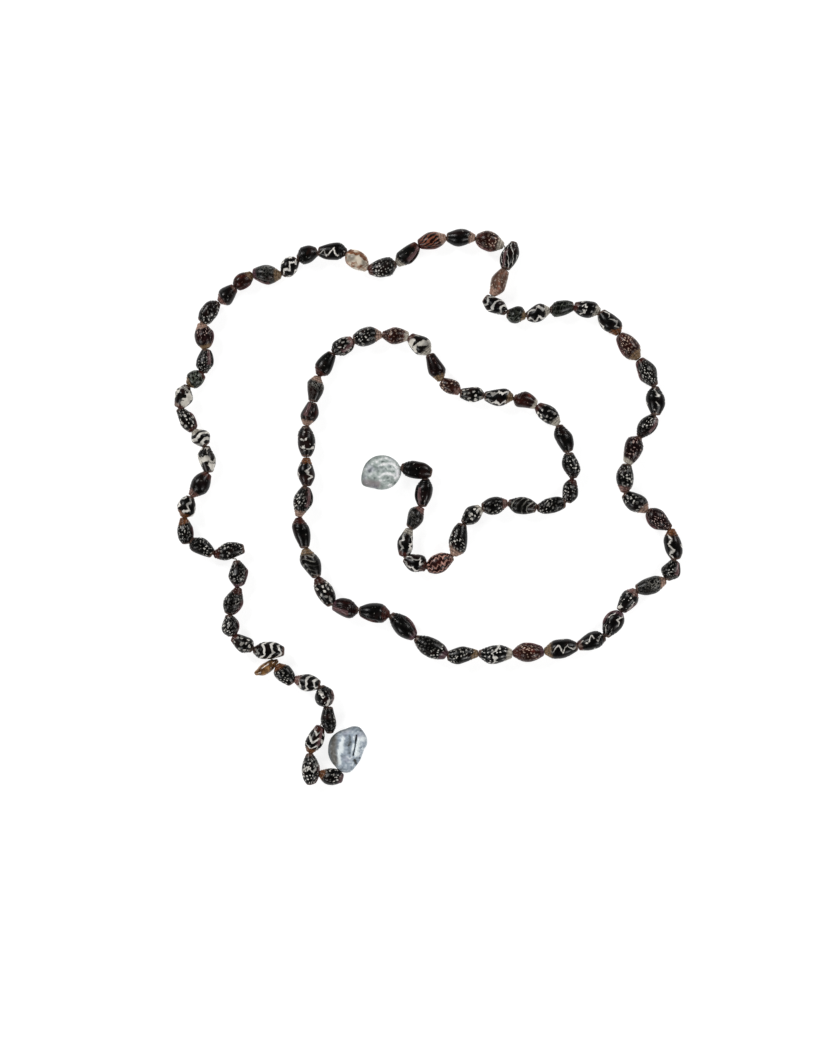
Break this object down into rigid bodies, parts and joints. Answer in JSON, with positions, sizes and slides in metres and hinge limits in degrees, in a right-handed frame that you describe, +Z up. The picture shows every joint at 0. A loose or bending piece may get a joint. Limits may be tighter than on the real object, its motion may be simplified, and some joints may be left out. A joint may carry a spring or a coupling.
{
  "type": "shell necklace",
  "caption": "Long open rope necklace of drilled dove shells with a baroque pearl at each end, laid in a loose flat spiral of two turns.",
  "frame": {"origin": "centre of the spiral's bounding box, on the surface that it lies on", "axes": "+Z up from the surface, +Y towards the top of the spiral as it is seen from above, +X to the right"},
  "size_m": [0.2136, 0.2336, 0.0085],
  "materials": {
    "dove_shell": "polished dark seashell with white dots, nets and zigzags",
    "golden_shell": "polished golden-brown seashell",
    "thread": "thin pale stringing thread",
    "grey_pearl": "grey-green nacre with ridges",
    "silver_pearl": "bluish silver nacre with a ridge"
  },
  "bodies": {
    "root": {"shells_inner_turn": "dove_shell", "shells_outer_turn": "dove_shell", "side_shell": "golden_shell", "thread": "thread", "inner_pearl": "grey_pearl", "outer_pearl": "silver_pearl"}
  },
  "joints": []
}
